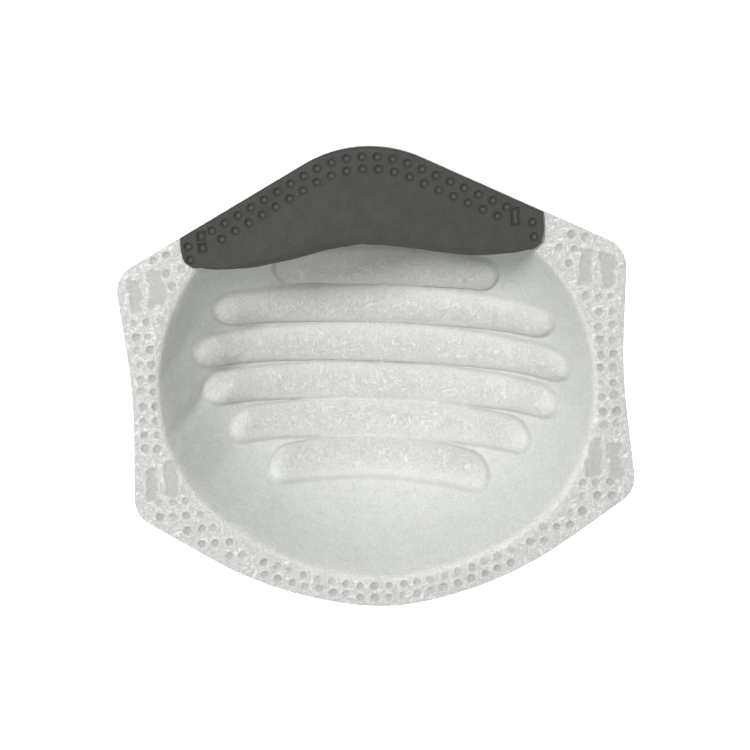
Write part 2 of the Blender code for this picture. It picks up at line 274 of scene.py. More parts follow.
# ===== The weld pits ==============================================================================
def inner_offset(loop, distance):
    """A closed line moved inwards."""
    ahead = np.roll(loop, -1, axis=0) - np.roll(loop, 1, axis=0)
    normal = np.column_stack([ahead[:, 1], -ahead[:, 0]]) / np.linalg.norm(ahead, axis=1)[:, None]
    if ((loop + normal)[:, 0] ** 2).sum() > (loop[:, 0] ** 2).sum():
        normal = -normal
    return loop + normal * distance


def every(points, pitch):
    """Points of a run of a line, about one pitch apart."""
    along = np.concatenate([[0], np.cumsum(np.linalg.norm(np.diff(points, axis=0), axis=1))])
    at = np.linspace(0, along[-1], max(2, round(along[-1] / pitch) + 1))
    return [tuple(np.interp(at, along, points[:, k])[i] for k in (0, 1)) for i in range(len(at))]


def edge_distance(outline, x, z):
    """Distance from a point to the nearest point of the outline."""
    return np.hypot(outline[:, 0] - x, outline[:, 1] - z).min()


def flange_pits(outline):
    """Middles of the weld pits: two rows round the chin, two columns at each side, and filled corners."""
    pits = []
    for distance in PIT_ROWS:
        loop = inner_offset(outline, distance)
        run = loop[(loop[:, 1] < -40) & (np.abs(loop[:, 0]) < 34)]
        pits += every(run[np.argsort(run[:, 0])], PIT_PITCH)
    first_x, pitch_x, first_z, pitch_z = CORNER_GRID
    for side in (-1, 1):
        pits += [(side * (x + SIDE_BOW * (k / 5) ** 2), k * SIDE_PITCH)
                 for x in SIDE_COLUMNS for k in range(-4, 6)]
        pits += [(side * x, z) for x, z in BROW_PITS]
        for j in range(CORNER_ROWS):
            for i in range(CORNER_COLUMNS):
                x, z = side * (first_x - pitch_x * i), first_z - pitch_z * j
                clear = all(math.hypot(x - a, z - b) > CLEAR_OF_PITS for a, b in pits)
                beyond_cup = rho_at(np.array([x]), np.array([z]))[0] > CLEAR_OF_CUP
                inside = within_outline(outline, x, z) and edge_distance(outline, x, z) > CLEAR_OF_EDGE
                if clear and beyond_cup and inside:
                    pits.append((x, z))
    wobble = np.random.default_rng(5).normal(0, 0.16, (len(pits), 2))
    return np.array(pits) + wobble


def within_outline(outline, x, z):
    ahead = np.roll(outline, -1, axis=0)
    crosses = (outline[:, 1] > z) != (ahead[:, 1] > z)
    with np.errstate(divide="ignore", invalid="ignore"):
        rise = ahead[:, 1] - outline[:, 1]
        at = outline[:, 0] + (z - outline[:, 1]) * (ahead[:, 0] - outline[:, 0]) / rise
    return bool((crosses & (x < at)).sum() % 2)


def pit_marks(x, z, pits):
    """How far each point is pressed in by a pit (0 to 1), how near it is to a pit's rim (0 to 1), which the
    fleece darkens as painted shade, and how near it is to the ring of raised fibres round a pit (0 to 1),
    which the fleece lightens as a painted highlight.
    """
    away = np.full_like(x, 9.0)
    uneven = 1 + 0.16 * lumps(x, z, 1.1, 21)
    depth = np.zeros_like(x)
    sizes = np.random.default_rng(6).uniform(0.88, 1.12, len(pits)) * PIT_RADIUS
    depths = np.random.default_rng(7).uniform(0.45, 1.0, len(pits))
    for (a, b), size, share in zip(pits, sizes, depths):
        near = (np.abs(x - a) < 2.0) & (np.abs(z - b) < 2.0)
        away[near] = np.minimum(away[near], np.hypot(x[near] - a, z[near] - b) / (size * uneven[near]))
        depth[near] = share
    floor = depth * (1 - ease(away, 0.62, 1.22))
    return floor, depth * np.exp(-(((away - 0.98) / 0.16) ** 2)), np.exp(-(((away - 1.5) / 0.3) ** 2))


def bar_marks(x, z):
    """1 on the strap welds' uneven upright bars, and 1 on the raised fibres beside them, which also get a
    painted highlight.
    """
    pressed, beside = np.zeros_like(x), np.zeros_like(x)
    uneven = lumps(x, z, 2.6, 22) + 0.4 * lumps(x, z, 1.0, 23)
    for middle_z in BAR_Z:
        for side in (-1, 1):
            for k, offset in enumerate(BAR_OFFSETS):
                shift = 0.8 if (k == 0) == (side > 0) else -0.8
                across = np.abs(x - side * BAR_X - offset) - BAR_SIZE[0]
                along = np.abs(z - middle_z - shift) - BAR_SIZE[1]
                away = np.maximum(across, along) + uneven
                pressed = np.maximum(pressed, 1 - ease(away, -0.4, 0.4))
                beside = np.maximum(beside, np.exp(-(((away - 0.75) / 0.4) ** 2)))
    return pressed, beside


# ===== Meshes =====================================================================================
def mesh_object(name, points, faces, body, attributes=None):
    """An object from points in mm and a list of face arrays, riding on a body."""
    mesh = bpy.data.meshes.new(name)
    loops = np.concatenate([f.ravel() for f in faces]).astype(np.int32)
    sizes = np.concatenate([np.full(len(f), f.shape[1]) for f in faces]).astype(np.int32)
    mesh.vertices.add(len(points))
    mesh.vertices.foreach_set("co", (points * MM).astype(np.float32).ravel())
    mesh.loops.add(len(loops))
    mesh.loops.foreach_set("vertex_index", loops)
    mesh.polygons.add(len(sizes))
    starts = np.concatenate([[0], np.cumsum(sizes)[:-1]]).astype(np.int32)
    mesh.polygons.foreach_set("loop_start", starts)
    mesh.update(calc_edges=True)
    mesh.validate()
    for label, values in (attributes or {}).items():
        layer = mesh.attributes.new(label, "FLOAT", "POINT")
        layer.data.foreach_set("value", np.asarray(values, np.float32).ravel())
    mesh.shade_smooth()
    obj = bpy.data.objects.new(name, mesh)
    bpy.context.scene.collection.objects.link(obj)
    if body:
        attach(obj, body)
    return obj


def ring_faces(first, second, count, flip=False):
    """Quads between two closed rings of equally many points, from their first indices."""
    i = np.arange(count)
    j = (i + 1) % count
    quads = np.column_stack([first + i, first + j, second + j, second + i])
    return quads[:, ::-1] if flip else quads


def halving_faces(first, second, count, flip=False):
    """Five-sided faces from a ring of count points to one of half as many."""
    k = np.arange(count // 2)
    a, b, c = first + 2 * k, first + 2 * k + 1, first + (2 * k + 2) % count
    d, e = second + (k + 1) % (count // 2), second + k
    fives = np.column_stack([a, b, c, d, e])
    return fives[:, ::-1] if flip else fives


def disc_layout(outline):
    """Plan positions as rings from the outline to the cup's middle: fine on the flange, halved in the cup."""
    centre = np.array(turned(0, CUP_CENTRE_Z, CUP_SKEW))
    direction = outline - centre
    angle = np.arctan2(direction[:, 1], direction[:, 0]) - CUP_SKEW
    unit = direction / np.linalg.norm(direction, axis=1)[:, None]
    bend = centre + unit * (BEND_RHO * oval_radius(angle))[:, None]
    rings = [outline + (bend - outline) * t for t in np.linspace(0, 1, FLANGE_ROWS)]
    inner = bend[::2]
    shares = (1 - np.linspace(0, 1, CUP_ROWS + 1)[1:-1]) ** ROW_SPREAD
    rings += [centre + (inner - centre) * s for s in shares]
    return rings, centre


def disc_faces(rings, offset, flip):
    """Faces of a disc laid out as rings and a middle point, whose points start at offset."""
    faces = []
    start = offset
    for ring, following in zip(rings, rings[1:]):
        after = start + len(ring)
        join = ring_faces if len(following) == len(ring) else halving_faces
        faces.append(join(start, after, len(ring), flip))
        start = after
    count = len(rings[-1])
    i = np.arange(count)
    fan = np.column_stack([start + i, start + (i + 1) % count, np.full(count, start + count)])
    faces.append(fan[:, ::-1] if flip else fan)
    return faces


def web_piece(name, node, low, high, relief_low, relief_high, outline, tones):
    """One closed web between two distances from the inner surface, each side with its own relief in mm."""
    rings, centre = disc_layout(outline)
    plan = np.vstack(rings + [centre[None, :]])
    x, z = plan[:, 0], plan[:, 1]
    base = np.column_stack([x, base_depth(x, z), z])
    normals = base_normals(x, z)
    sides = [base + normals * (distance + relief(x, z))[:, None]
             for distance, relief in ((low, relief_low), (high, relief_high))]
    faces = disc_faces(rings, 0, True) + disc_faces(rings, len(plan), False)
    faces.append(ring_faces(0, len(plan), len(outline)))
    attributes = {label: np.tile(values, 2) for label, values in tones(x, z).items()}
    obj = mesh_object(name, np.vstack(sides), faces, "mask_body", attributes)
    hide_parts(node)
    return obj


# ===== The three webs =============================================================================
def wall_dents(x, z):
    """Shallow creases that a soft cup takes on its side walls, in mm away from the wearer."""
    dents = np.zeros_like(x)
    creases = [(-52, 14, 62, 9, 2.0, 1.5), (-48, -3, 50, 10, 2.2, 1.2), (-41, -20, 40, 8, 3.0, 0.45),
               (52, -12, 118, 9, 3.0, 0.4)]
    for cx, cz, degrees, length, width, depth in creases:
        u, v = turned(x - cx, z - cz, -math.radians(degrees))
        dents += depth * np.exp(-((u / length) ** 2) - (v / width) ** 2)
    return dents


def soft_wave(x, z):
    """The slight unevenness of a hand-handled nonwoven."""
    return 0.20 * lumps(x, z, 13.0, 31) + 0.07 * lumps(x, z, 5.0, 32) + 0.02 * lumps(x, z, 1.7, 33)


def on_flange(x, z):
    return ease(rho_at(x, z), 0.985, 1.015)


def weld_tones(outline):
    """What the materials need to know about each point of a web: welds, ribs and the flange, and the masks
    for the fleece's painted shade and painted highlights.
    """
    pits = flange_pits(outline)

    def tones(x, z):
        flange = on_flange(x, z)
        floor, rim, halo = pit_marks(x, z, pits)
        bars, beside = bar_marks(x, z)
        halo = np.maximum(halo, beside)
        nearest = from_ribs(x, z)
        rho = rho_at(x, z)
        return {"pit": floor * (1 - bars) * flange, "bar": bars * flange, "rim": rim * (1 - bars) * flange,
                "halo": halo * (1 - bars) * flange, "flange": flange, "rib": rib_swell(x, z),
                "crease_shade": np.exp(-(((nearest - 1.0) / 0.075) ** 2)),
                "fringe": np.exp(-(((rho - 0.997) / 0.011) ** 2)),
                "rib_cap_highlight": ease(np.abs(x) + 0.35 * RIB_PITCH * nearest, 30, 46) * rib_swell(x, z)}

    return tones


def plain_relief(x, z):
    """Ribs, dents and waves that all three webs share."""
    lift = -RIB_HEIGHT * rib_swell(x, z) + wall_dents(x, z) * (1 - on_flange(x, z))
    return lift + soft_wave(x, z) * np.where(on_flange(x, z) > 0, 0.35, 1.0)


def inner_relief(tones):
    """The fleece's own surface: pits, soft ridges between them and a thin raised lip along the bend."""

    def relief(x, z):
        marks = tones(x, z)
        pressed = np.maximum(marks["pit"], 0.5 * marks["bar"])
        loose = marks["flange"] * (1 - pressed)
        fuzz = 0.05 * lumps(x, z, 0.9, 34) + 0.04 * lumps(x, z, 0.45, 35)
        tufts = 0.10 * lumps(x, z, 1.5, 37) * marks["rib"] ** 2
        lift = plain_relief(x, z) + 0.24 * pressed
        lift = lift - 0.10 * loose * (1 + marks["halo"]) - 0.16 * marks["fringe"]
        return lift + fuzz * (0.4 + 0.6 * marks["flange"]) * (1 - pressed) + tufts

    return relief


def outer_relief(tones):
    def relief(x, z):
        marks = tones(x, z)
        pressed = np.maximum(marks["pit"], marks["bar"])
        return plain_relief(x, z) + 0.03 * lumps(x, z, 0.9, 36) - 0.22 * pressed

    return relief


def build_webs():
    outline = flange_outline(ROUND_POINTS)
    tones = weld_tones(outline)
    inner = web_piece("inner_shell_fleece", "inner_shell", 0.0, 0.85, inner_relief(tones), plain_relief,
                      outline, tones)
    inner.data.materials.append(fleece_material())
    coarse = flange_outline(FILTER_POINTS)
    flat = web_piece("filter_web_sheet", "filter_web", 1.0, 1.4, plain_relief, plain_relief, coarse, tones)
    flat.data.materials.append(filter_material())
    outer = web_piece("outer_cover_web", "outer_cover", 1.55, STACK, plain_relief, outer_relief(tones),
                      outline, tones)
    outer.data.materials.append(cover_material())


# ===== The nose foam ==============================================================================
def foam_pits():
    """Two rows of weld pits along the top edge, and the odd marks at the strip's ends."""
    x = np.linspace(-46, 46, 800)
    top = np.column_stack([x, outline_top(x)])
    ahead = np.gradient(top, axis=0)
    normal = np.column_stack([ahead[:, 1], -ahead[:, 0]]) / np.linalg.norm(ahead, axis=1)[:, None]
    pits = []
    for distance, reach in ((2.9, 41.0), (6.1, 38.5)):
        row = top + normal * distance
        row = row[np.abs(row[:, 0]) < reach]
        pits += every(row, 4.15)
    pits = [(a, b) for a, b in pits if not (a > 38.4 or a < -41.6)]
    return pits + [(-47.6, 39.0), (-47.3, 35.4), (43.9, 40.3), (44.2, 36.4)]


FOAM_BARS = [(39.4, 42.0, 0.85, 2.1), (-43.9, 41.6, 0.9, 1.0), (-43.8, 38.5, 0.9, 1.0)]


def foam_marks(x, z):
    """How far the foam is pressed in at its marks (0 to 1), and the nub in the middle of each, which the
    material lightens as a painted highlight.
    """
    pressed, nub = np.zeros_like(x), np.zeros_like(x)
    for a, b in foam_pits():
        away = np.hypot(x - a, z - b)
        pressed = np.maximum(pressed, 1 - ease(away, 0.75, 1.45))
        nub = np.maximum(nub, 1 - ease(away, 0.35, 0.8))
    for a, b, half_x, half_z in FOAM_BARS:
        away = np.maximum(np.abs(x - a) - half_x, np.abs(z - b) - half_z)
        pressed = np.maximum(pressed, 1 - ease(away, 0.0, 0.6))
        nub = np.maximum(nub, 1 - ease(away, -0.75, -0.2))
    return pressed, nub


def build_foam():
    """A strip whose front is a displaced grid, closed by a flat back."""
    columns, rows = FOAM_GRID
    u = np.linspace(-1, 1, columns)
    from_middle = FOAM_HALF_LENGTH * np.sin(u * math.pi / 2 * 0.93) / math.sin(math.pi / 2 * 0.93)
    x = FOAM_MIDDLE_X + from_middle
    top = outline_top(x) - 0.12
    bottom = smooth_through(np.abs(from_middle), FOAM_LOWER_EDGE) + 0.12 * lumps(x, x * 0, 5.0, 41)
    t = (1 - np.cos(np.linspace(0, 1, rows) * math.pi)) / 2
    t = 0.5 * t + 0.5 * np.linspace(0, 1, rows)
    grid_x = np.repeat(x[:, None], rows, axis=1)
    grid_z = top[:, None] + (bottom - top)[:, None] * t[None, :]
    slope = math.cos(math.atan2(FLANGE_CORNERS[0][1] - FLANGE_CORNERS[1][1], FLANGE_CORNERS[1][0]))
    from_top = (top[:, None] - grid_z) * slope
    from_bottom = grid_z - bottom[:, None]
    from_end = FOAM_HALF_LENGTH - np.abs(grid_x - FOAM_MIDDLE_X)
    swell = ease(from_top, 5.5, 18.0) * ease(from_end, 0.5, 16.0)
    thick = FOAM_WELDED + (FOAM_FREE - 0.25 - FOAM_WELDED) * swell
    roll = np.sqrt(np.clip(1 - (1 - np.clip(from_bottom / (0.55 * thick), 0, 1)) ** 2, 0, 1))
    edge_roll = np.sqrt(np.clip(1 - (1 - np.clip(from_top / 0.5, 0, 1)) ** 2, 0, 1))
    end_roll = np.sqrt(np.clip(1 - (1 - np.clip(from_end / 0.6, 0, 1)) ** 2, 0, 1))
    marks, nub = foam_marks(grid_x, grid_z)
    pillow = 0.16 * (1 - marks) * ease(from_top, 0.3, 1.6) * (1 - ease(from_top, 7.0, 9.5))
    front = thick * roll * (0.35 + 0.65 * edge_roll) * (0.4 + 0.6 * end_roll) + pillow
    front += -0.62 * marks + 0.34 * nub
    front += swell * (0.10 * lumps(grid_x, grid_z, 9.0, 42) + 0.05 * lumps(grid_x, grid_z, 3.5, 43))
    front = np.maximum(front, 0.25)
    points = slab_points(grid_x, -GAP - front, np.full_like(front, -GAP), grid_z)
    back = np.zeros(columns * rows)
    attributes = {"press": np.concatenate([marks.ravel(), back]),
                  "nub": np.concatenate([nub.ravel(), back]),
                  "band": np.concatenate([(1 - ease(from_top, 0.15, 0.6)).ravel(), back])}
    faces = slab_faces(columns, rows)
    foam = mesh_object("nose_foam_strip", points, faces, "mask_body", attributes)
    fix_normals(foam)
    foam.data.materials.append(foam_material())
    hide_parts("nose_foam")


def slab_faces(columns, rows):
    """Faces of a closed slab: a front grid, the same grid turned round as its back, and its rim."""
    count = columns * rows
    i, j = np.meshgrid(np.arange(columns - 1), np.arange(rows - 1), indexing="ij")
    a = (i * rows + j).ravel()
    quads = np.column_stack([a, a + 1, a + rows + 1, a + rows])
    rim = np.concatenate([np.arange(rows), np.arange(1, columns) * rows + rows - 1,
                          (columns - 1) * rows + np.arange(rows - 2, -1, -1),
                          np.arange(columns - 2, 0, -1) * rows])
    following = np.roll(rim, -1)
    return [quads, quads[:, ::-1] + count, np.column_stack([rim, rim + count, following + count, following])]


def slab_points(x, front, back, z):
    """Front and back points of a slab from its grids of positions."""
    return np.vstack([np.column_stack([x.ravel(), y.ravel(), z.ravel()]) for y in (front, back)])


def fix_normals(obj):
    shell = bmesh.new()
    shell.from_mesh(obj.data)
    bmesh.ops.recalc_face_normals(shell, faces=shell.faces)
    shell.to_mesh(obj.data)
    shell.free()


# ===== Clip, strap ends and straps ================================================================
def swept(name, sections, body, attributes=None):
    """A closed solid through rings of equally many points, with its ends capped by fans."""
    sections = np.array(sections)
    stations, count = sections.shape[:2]
    points = np.vstack([sections.reshape(-1, 3), sections[0].mean(axis=0)[None],
                        sections[-1].mean(axis=0)[None]])
    faces = [ring_faces(k * count, (k + 1) * count, count) for k in range(stations - 1)]
    i = np.arange(count)
    first, last = stations * count, stations * count + 1
    faces.append(np.column_stack([i, np.full(count, first), (i + 1) % count]))
    end = (stations - 1) * count
    faces.append(np.column_stack([end + (i + 1) % count, np.full(count, last), end + i]))
    extra = {k: np.concatenate([np.asarray(v).ravel(), [0, 0]]) for k, v in (attributes or {}).items()}
    obj = mesh_object(name, points, faces, body, extra)
    fix_normals(obj)
    return obj


def rounded_section(width, thickness, across, out, middle, points_across=14, corner=None):
    """A ring of points round a flat section with rounded edges."""
    radius = min(thickness / 2, corner or thickness / 2)
    ring = []
    half_w, half_t = width / 2 - radius, thickness / 2 - radius
    line = np.linspace(-half_w, half_w, points_across)
    for s in line:
        ring.append((s, thickness / 2))
    for a in np.linspace(math.pi / 2, 0, 4)[1:-1]:
        ring.append((half_w + radius * math.cos(a), half_t + radius * math.sin(a)))
    for a in np.linspace(0, -math.pi / 2, 4)[1:-1]:
        ring.append((half_w + radius * math.cos(a), -half_t + radius * math.sin(a)))
    for s in line[::-1]:
        ring.append((s, -thickness / 2))
    for a in np.linspace(-math.pi / 2, -math.pi, 4)[1:-1]:
        ring.append((-half_w + radius * math.cos(a), -half_t + radius * math.sin(a)))
    for a in np.linspace(math.pi, math.pi / 2, 4)[1:-1]:
        ring.append((-half_w + radius * math.cos(a), half_t + radius * math.sin(a)))
    ring = np.array(ring)
    return middle + ring[:, :1] * across + ring[:, 1:] * out, ring


def cup_point(rho, angle):
    reach = rho * float(oval_radius(angle))
    x, z = turned(reach * math.cos(angle), CUP_CENTRE_Z + reach * math.sin(angle), CUP_SKEW)
    return np.array([x, float(base_depth(np.array([x]), np.array([z]))[0]), z])


def build_clip():
    """A soft aluminium strip along the brow of the cup, with rounded ends."""
    first, last = CLIP_ANGLES
    angles = np.radians(np.linspace(first, last, CLIP_POINTS))
    sections = []
    for k, a in enumerate(angles):
        middle = cup_point(CLIP_RHO, a)
        across = cup_point(CLIP_RHO + 0.03, a) - cup_point(CLIP_RHO - 0.03, a)
        across /= np.linalg.norm(across)
        out = base_normals(middle[:1], middle[2:])[0]
        end = min(k, len(angles) - 1 - k) * CLIP_STEP
        width = CLIP_WIDTH * math.sqrt(max(0.05, 1 - (1 - min(end / CLIP_TIP, 1)) ** 2))
        centre = middle + out * (STACK + 2 * GAP + CLIP_THICKNESS / 2)
        ring, _ = rounded_section(width, CLIP_THICKNESS, across, out, centre, corner=CLIP_CORNER)
        sections.append(ring)
    clip = swept("nose_clip_strip", sections, "mask_body")
    clip.data.materials.append(aluminium_material())
    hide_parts("nose_clip")


def build_strap_end(which, side, sign):
    """One flat strap end, with two welded bars pressed into it."""
    width, thickness, height = STRAP_END
    columns, rows = STRAP_END_GRID
    gx, gz = np.meshgrid(np.linspace(-width / 2, width / 2, columns),
                         np.linspace(-height / 2, height / 2, rows), indexing="ij")
    edge = np.minimum(width / 2 - np.abs(gx), height / 2 - np.abs(gz))
    bars = np.zeros_like(gx)
    for offset in BAR_OFFSETS:
        away = np.maximum(np.abs(gx - offset) - END_BAR[0], np.abs(gz) - END_BAR[1])
        away = away + 0.1 * lumps(gx, gz, 0.8, 51)
        bars = np.maximum(bars, 1 - ease(away, -0.2, 0.35))
    front = thickness - 0.45 * bars + 0.04 * lumps(gx, gz, 0.7, 52)
    front *= np.sqrt(np.clip(1 - (1 - np.clip(edge / 0.35, 0, 1)) ** 2, 0.15, 1))
    fray = 0.12 * lumps(gz * 3, gz, 0.6, 53) * (np.abs(gx) > width / 2 - 0.4)
    base_y = STACK + GAP
    points = slab_points(sign * ANCHOR_X + gx + fray, base_y + front, np.full_like(gx, base_y),
                         ANCHOR_Z[which] + gz)
    attributes = {"press": np.concatenate([bars.ravel(), np.zeros(columns * rows)]),
                  "across": np.tile(gz.ravel(), 2), "along": np.tile(gx.ravel(), 2)}
    obj = mesh_object(f"{which}_{side}_strap_weld", points, slab_faces(columns, rows), "mask_body",
                      attributes)
    fix_normals(obj)
    obj.data.materials.append(elastic_material())
    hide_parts(f"{which}_{side}_strap_end")


def build_strap_ends():
    """The four strap ends on the outside of the flange."""
    for which in ANCHOR_Z:
        for side, sign in (("left", -1), ("right", 1)):
            build_strap_end(which, side, sign)


def cup_reach(x, anchor_z, tilt):
    along = np.linspace(0, STRAP_SEARCH, 10 * STRAP_SEARCH + 1)
    farthest = 0.0
    for edge in (-STRAP_WIDTH / 2, 0, STRAP_WIDTH / 2):
        y = AXIS_Y + along * math.cos(tilt)
        z = anchor_z + edge + along * math.sin(tilt)
        inside = along[y < base_depth(np.full_like(z, x), z)]
        farthest = max(farthest, float(inside.max()) if len(inside) else 0.0)
    return farthest


def upper_hull(points):
    hull = []
    for p in points:
        while len(hull) > 1:
            (ax, ay), (bx, by) = hull[-2:]
            if (bx - ax) * (p[1] - ay) - (by - ay) * (p[0] - ax) < 0:
                break
            hull.pop()
        hull.append(p)
    return hull


def strap_route(which, stations):
    lift = STACK * STRAP_TILT_SPREAD + STRAP_CLEARANCE + STRAP_THICKNESS / 2
    round_cup = [(-ANCHOR_X, 0.0), (ANCHOR_X, 0.0)]
    for x in np.linspace(-58, 58, 59):
        reach = cup_reach(float(x), ANCHOR_Z[which], STRAP_TILT[which])
        if reach > 0:
            for a in np.linspace(0, math.pi, 13):
                round_cup.append((x + lift * math.cos(a), reach + lift * math.sin(a)))
    hull = upper_hull(sorted(p for p in round_cup if abs(p[0]) <= ANCHOR_X))
    root = [(ANCHOR_X + out, (height - AXIS_Y) / math.cos(STRAP_TILT[which])) for out, height in STRAP_ROOT]
    hull = np.array([(-x, down) for x, down in root] + hull + root[::-1])
    length = np.concatenate([[0], np.cumsum(np.hypot(*np.diff(hull, axis=0).T))])
    even = np.linspace(0, length[-1], stations)
    route = np.column_stack([np.interp(even, length, hull[:, k]) for k in (0, 1)])
    kernel = np.hanning(ROUTE_KERNEL) / np.hanning(ROUTE_KERNEL).sum()
    for k in (0, 1):
        padded = np.pad(route[:, k], ROUTE_KERNEL // 2, mode="reflect", reflect_type="odd")
        route[:, k] = np.convolve(padded, kernel, mode="valid")
    return route, even


def build_straps():
    """Flat knitted elastic bands, gathered where they leave their welds."""
    for which in ("upper", "lower"):
        route, along = strap_route(which, STRAP_STATIONS)
        tangents = np.gradient(route, axis=0)
        plane = np.array([0, math.cos(STRAP_TILT[which]), math.sin(STRAP_TILT[which])])
        pivot = np.array([0, AXIS_Y, ANCHOR_Z[which]])
        sections, across_at, along_at = [], [], []
        for (x, reach), (tx, tq), at in zip(route, tangents, along):
            end = min(at, along[-1] - at) - STRAP_ROOT_LENGTH
            reach_of_neck = STRAP_NECK_LENGTH if end > 0 else 1.6 * STRAP_ROOT_LENGTH
            share = math.sin(min(abs(end) / reach_of_neck, 1.0) * math.pi / 2) ** 2
            width = STRAP_NECK + (STRAP_WIDTH - STRAP_NECK) * share
            width += 0.12 * math.sin(at * 0.9) * share
            out = np.array([-tq, 0, 0]) + plane * tx
            out /= np.linalg.norm(out)
            middle = pivot + np.array([x, 0, 0]) + plane * reach
            ring, flat = rounded_section(width, STRAP_THICKNESS * 0.92, np.array([0, 0, 1.0]), out, middle,
                                         points_across=28, corner=0.3)
            gather = (1 - share) * 0.12 * np.cos(flat[:, 0] / max(width, 1) * 2 * math.pi * 3)
            ring = ring + gather[:, None] * out * np.sign(flat[:, 1:])
            sections.append(ring)
            across_at.append(flat[:, 0] * STRAP_WIDTH / width)
            along_at.append(np.full(len(flat), at))
        press = np.zeros(sum(len(a) for a in across_at))
        strap = swept(f"{which}_elastic_band", sections, None,
                      {"across": across_at, "along": along_at, "press": press})
        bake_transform(strap)
        strap.data.materials.append(elastic_material())
        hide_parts(f"{which}_head_strap")


# ===== Materials ==================================================================================
class Nodes:
    """A short way to lay out one material's nodes."""

    def __init__(self, name, roughness, metallic=0.0, sheen=0.0):
        self.material = bpy.data.materials.new(name)
        self.material.use_nodes = True
        self.tree = self.material.node_tree
        self.shader = self.tree.nodes["Principled BSDF"]
        self.shader.inputs["Roughness"].default_value = roughness
        self.shader.inputs["Metallic"].default_value = metallic
        self.shader.inputs["Sheen Weight"].default_value = sheen
        self.shader.inputs["Sheen Roughness"].default_value = 0.6
        self.place = self.tree.nodes.new("ShaderNodeTexCoord").outputs["Object"]

    def put(self, socket, value):
        if isinstance(value, bpy.types.NodeSocket):
            self.tree.links.new(value, socket)
        else:
            socket.default_value = value

    def attribute(self, name):
        node = self.tree.nodes.new("ShaderNodeAttribute")
        node.attribute_name = name
        return node.outputs["Fac"]

    def maths(self, operation, *values, clamp=False):
        node = self.tree.nodes.new("ShaderNodeMath")
        node.operation = operation
        node.use_clamp = clamp
        for socket, value in zip(node.inputs, values):
            self.put(socket, value)
        return node.outputs[0]

    def noise(self, scale, detail=2.0, roughness=0.5, distortion=0.0, place=None):
        node = self.tree.nodes.new("ShaderNodeTexNoise")
        self.put(node.inputs["Vector"], place or self.place)
        node.inputs["Scale"].default_value = scale
        node.inputs["Detail"].default_value = detail
        node.inputs["Roughness"].default_value = roughness
        node.inputs["Distortion"].default_value = distortion
        return node.outputs["Fac"]

    def voronoi(self, scale, feature="F1", randomness=1.0):
        node = self.tree.nodes.new("ShaderNodeTexVoronoi")
        node.feature = feature
        self.put(node.inputs["Vector"], self.place)
        node.inputs["Scale"].default_value = scale
        node.inputs["Randomness"].default_value = randomness
        return node.outputs["Distance"]

    def stretched(self, turn, stretch):
        """The place, turned and squeezed so that a noise read from it makes long fibres."""
        node = self.tree.nodes.new("ShaderNodeMapping")
        node.vector_type = "TEXTURE"
        self.put(node.inputs["Vector"], self.place)
        node.inputs["Rotation"].default_value = turn
        node.inputs["Scale"].default_value = (stretch, 1.0, 1.0)
        return node.outputs[0]

    def ramp(self, value, *stops):
        node = self.tree.nodes.new("ShaderNodeMapRange")
        node.interpolation_type = "SMOOTHSTEP"
        self.put(node.inputs["Value"], value)
        for socket, number in zip(list(node.inputs)[1:5], stops):
            socket.default_value = number
        return node.outputs[0]

    def mix(self, factor, first, second):
        node = self.tree.nodes.new("ShaderNodeMix")
        node.data_type = "RGBA"
        self.put(node.inputs[0], factor)
        for socket, value in ((node.inputs[6], first), (node.inputs[7], second)):
            self.put(socket, value if isinstance(value, bpy.types.NodeSocket) else (*value, 1.0))
        return node.outputs[2]

    def bump(self, height, distance, strength):
        node = self.tree.nodes.new("ShaderNodeBump")
        node.inputs["Strength"].default_value = strength
        node.inputs["Distance"].default_value = distance
        self.put(node.inputs["Height"], height)
        return node.outputs[0]

    def fibres(self, scale, stretch, count, low=0.60, high=0.72):
        """Crossing fibres: 1 on a fibre and 0 between them."""
        rng = np.random.default_rng(int(scale))
        found = None
        for _ in range(count):
            turn = tuple(float(v) for v in rng.uniform(0, math.pi, 3))
            noise = self.noise(scale, 1.0, 0.4, 0.6, self.stretched(turn, stretch))
            streak = self.ramp(noise, low, high, 0.0, 1.0)
            found = streak if found is None else self.maths("MAXIMUM", found, streak)
        return found

    def done(self, colour, normal=None):
        self.put(self.shader.inputs["Base Color"], colour)
        if normal is not None:
            self.put(self.shader.inputs["Normal"], normal)
        return self.material


